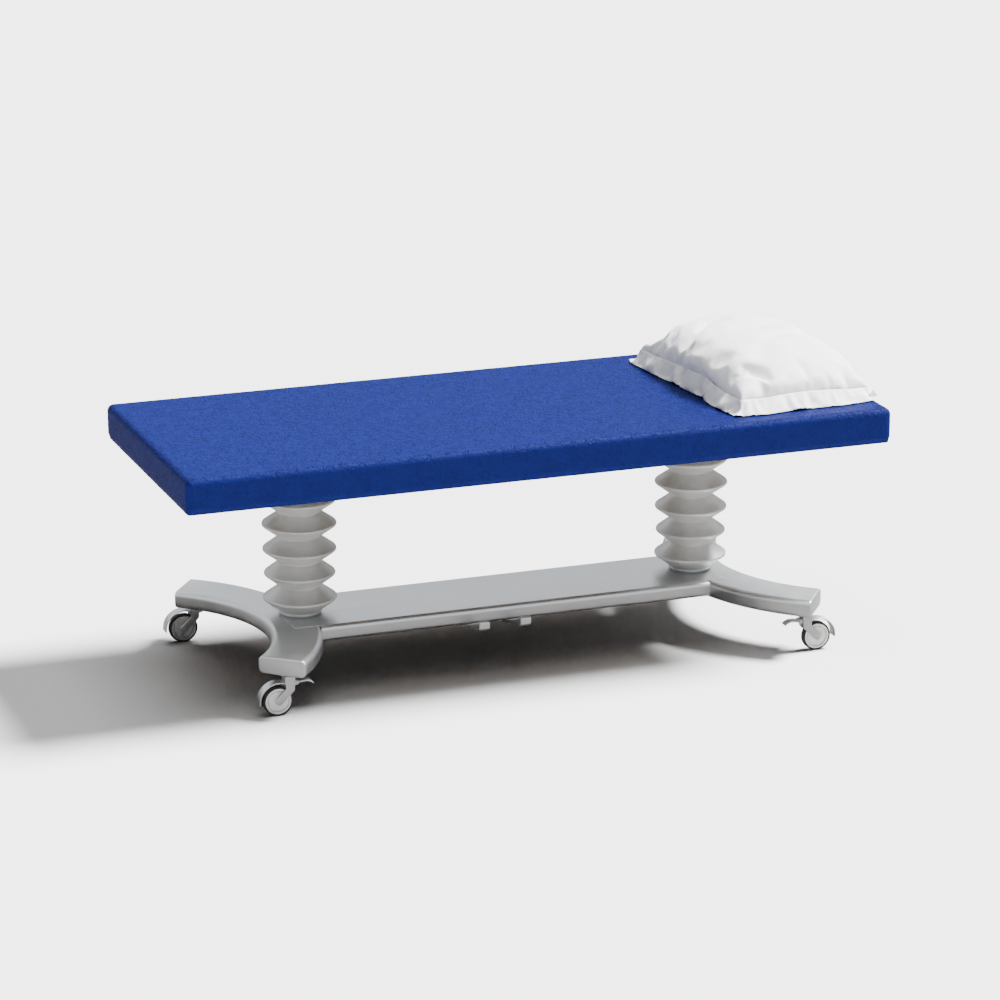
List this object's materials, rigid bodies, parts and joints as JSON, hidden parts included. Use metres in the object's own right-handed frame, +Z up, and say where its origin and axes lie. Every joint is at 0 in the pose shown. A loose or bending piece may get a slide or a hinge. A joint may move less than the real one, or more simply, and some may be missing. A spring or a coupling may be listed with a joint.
{
  "type": "medical exam table",
  "caption": "Long padded table top on two telescopic columns with bellows, over a flat beam, bowed legs, braked casters and foot pedals; loose pillow at one end.",
  "frame": {"origin": "on the floor under the middle of the padded top", "axes": "+X towards the pillow end, -Y towards the side with the pedals, +Z up"},
  "size_m": [1.9, 0.7598, 0.7883],
  "materials": {
    "vinyl": "satin",
    "foam": "matte",
    "plywood": "matte",
    "pillowcase": "matte",
    "silver": "satin",
    "painted_steel": "satin",
    "bellows": "satin",
    "steel": "satin",
    "chrome": "gloss",
    "rim": "satin",
    "tyre": "matte"
  },
  "bodies": {
    "base": {"base_beam": "silver", "leg_foot": "silver", "leg_head": "silver", "pump_unit": "steel", "pedal_bracket": "steel", "pedal_rod": "chrome", "outer_tube_foot": "steel", "bellows_seat_foot": "steel", "bellows_foot": "bellows", "ram_cylinder_foot": "steel", "oil_pipe_foot": "chrome", "outer_tube_head": "steel", "bellows_seat_head": "steel", "bellows_head": "bellows", "ram_cylinder_head": "steel", "oil_pipe_head": "chrome", "caster_foot_near_socket": "steel", "caster_foot_far_socket": "steel", "caster_head_near_socket": "steel", "caster_head_far_socket": "steel"},
    "top": {"pad_cover": "vinyl", "pad_foam": "foam", "pad_board": "plywood", "frame_rail_near": "steel", "frame_rail_far": "steel", "cross_channel_foot": "steel", "inner_tube_foot": "chrome", "bellows_hanger_foot": "steel", "ram_rod_foot": "chrome", "cross_channel_head": "steel", "inner_tube_head": "chrome", "bellows_hanger_head": "steel", "ram_rod_head": "chrome"},
    "pillow": {"pillow": "pillowcase"},
    "middle_foot": {"middle_tube_foot": "chrome"},
    "middle_head": {"middle_tube_head": "chrome"},
    "raise_pedal": {"raise_pedal": "silver"},
    "lower_pedal": {"lower_pedal": "silver"},
    "caster_foot_near_swivel": {"caster_foot_near_fork": "painted_steel", "caster_foot_near_axle": "chrome"},
    "caster_foot_near_wheel": {"caster_foot_near_rim": "rim", "caster_foot_near_tyre": "tyre"},
    "caster_foot_near_brake": {"caster_foot_near_brake": "painted_steel"},
    "caster_foot_far_swivel": {"caster_foot_far_fork": "painted_steel", "caster_foot_far_axle": "chrome"},
    "caster_foot_far_wheel": {"caster_foot_far_rim": "rim", "caster_foot_far_tyre": "tyre"},
    "caster_foot_far_brake": {"caster_foot_far_brake": "painted_steel"},
    "caster_head_near_swivel": {"caster_head_near_fork": "painted_steel", "caster_head_near_axle": "chrome"},
    "caster_head_near_wheel": {"caster_head_near_rim": "rim", "caster_head_near_tyre": "tyre"},
    "caster_head_near_brake": {"caster_head_near_brake": "painted_steel"},
    "caster_head_far_swivel": {"caster_head_far_fork": "painted_steel", "caster_head_far_axle": "chrome"},
    "caster_head_far_wheel": {"caster_head_far_rim": "rim", "caster_head_far_tyre": "tyre"},
    "caster_head_far_brake": {"caster_head_far_brake": "painted_steel"}
  },
  "joints": [
    {"name": "lift", "type": "slide", "parent": "base", "child": "top", "axis": [0, 0, 1], "range_m": [-0.08, 0.12], "deforming": ["bellows_foot", "bellows_head"]},
    {"name": "middle_tube_foot_slide", "type": "slide", "parent": "base", "child": "middle_foot", "axis": [0, 0, 1], "range_m": [-0.04, 0.06]},
    {"name": "middle_tube_head_slide", "type": "slide", "parent": "base", "child": "middle_head", "axis": [0, 0, 1], "range_m": [-0.04, 0.06]},
    {"name": "pillow_lift_off", "type": "slide", "parent": "top", "child": "pillow", "axis": [0, 0, 1], "range_m": [0, 0.2]},
    {"name": "raise_pedal_press", "type": "hinge", "parent": "base", "child": "raise_pedal", "pos_m": [-0.1255, -0.04, 0.098], "axis": [1, 0, 0], "range_deg": [0, 15], "stiffness_Nm_per_rad": 15, "springref_deg": -5.73},
    {"name": "lower_pedal_press", "type": "hinge", "parent": "base", "child": "lower_pedal", "pos_m": [-0.0125, -0.04, 0.098], "axis": [1, 0, 0], "range_deg": [0, 15], "stiffness_Nm_per_rad": 15, "springref_deg": -5.73},
    {"name": "caster_foot_near_swivel_turn", "type": "hinge", "parent": "base", "child": "caster_foot_near_swivel", "pos_m": [-0.67866, -0.31836, 0.1], "axis": [0, 0, 1], "continuous": true},
    {"name": "caster_foot_near_wheel_roll", "type": "hinge", "parent": "caster_foot_near_swivel", "child": "caster_foot_near_wheel", "pos_m": [-0.70816, -0.31836, 0.0387], "axis": [0, 1, 0], "continuous": true},
    {"name": "caster_foot_near_brake_press", "type": "hinge", "parent": "caster_foot_near_swivel", "child": "caster_foot_near_brake", "pos_m": [-0.65866, -0.31836, 0.084], "axis": [0, 1, 0], "range_deg": [0, 12]},
    {"name": "caster_foot_far_swivel_turn", "type": "hinge", "parent": "base", "child": "caster_foot_far_swivel", "pos_m": [-0.74334, 0.31836, 0.1], "axis": [0, 0, 1], "continuous": true},
    {"name": "caster_foot_far_wheel_roll", "type": "hinge", "parent": "caster_foot_far_swivel", "child": "caster_foot_far_wheel", "pos_m": [-0.77284, 0.31836, 0.0387], "axis": [0, 1, 0], "continuous": true},
    {"name": "caster_foot_far_brake_press", "type": "hinge", "parent": "caster_foot_far_swivel", "child": "caster_foot_far_brake", "pos_m": [-0.72334, 0.31836, 0.084], "axis": [0, 1, 0], "range_deg": [0, 12]},
    {"name": "caster_head_near_swivel_turn", "type": "hinge", "parent": "base", "child": "caster_head_near_swivel", "pos_m": [0.74334, -0.31836, 0.1], "axis": [0, 0, 1], "continuous": true},
    {"name": "caster_head_near_wheel_roll", "type": "hinge", "parent": "caster_head_near_swivel", "child": "caster_head_near_wheel", "pos_m": [0.77284, -0.31836, 0.0387], "axis": [0, 1, 0], "continuous": true},
    {"name": "caster_head_near_brake_press", "type": "hinge", "parent": "caster_head_near_swivel", "child": "caster_head_near_brake", "pos_m": [0.72334, -0.31836, 0.084], "axis": [0, -1, 0], "range_deg": [0, 12]},
    {"name": "caster_head_far_swivel_turn", "type": "hinge", "parent": "base", "child": "caster_head_far_swivel", "pos_m": [0.67866, 0.31836, 0.1], "axis": [0, 0, 1], "continuous": true},
    {"name": "caster_head_far_wheel_roll", "type": "hinge", "parent": "caster_head_far_swivel", "child": "caster_head_far_wheel", "pos_m": [0.70816, 0.31836, 0.0387], "axis": [0, 1, 0], "continuous": true},
    {"name": "caster_head_far_brake_press", "type": "hinge", "parent": "caster_head_far_swivel", "child": "caster_head_far_brake", "pos_m": [0.65866, 0.31836, 0.084], "axis": [0, -1, 0], "range_deg": [0, 12]}
  ],
  "couplings": [
    {"joint": "middle_tube_foot_slide", "follows": "lift", "ratio": 0.5},
    {"joint": "middle_tube_head_slide", "follows": "lift", "ratio": 0.5}
  ]
}
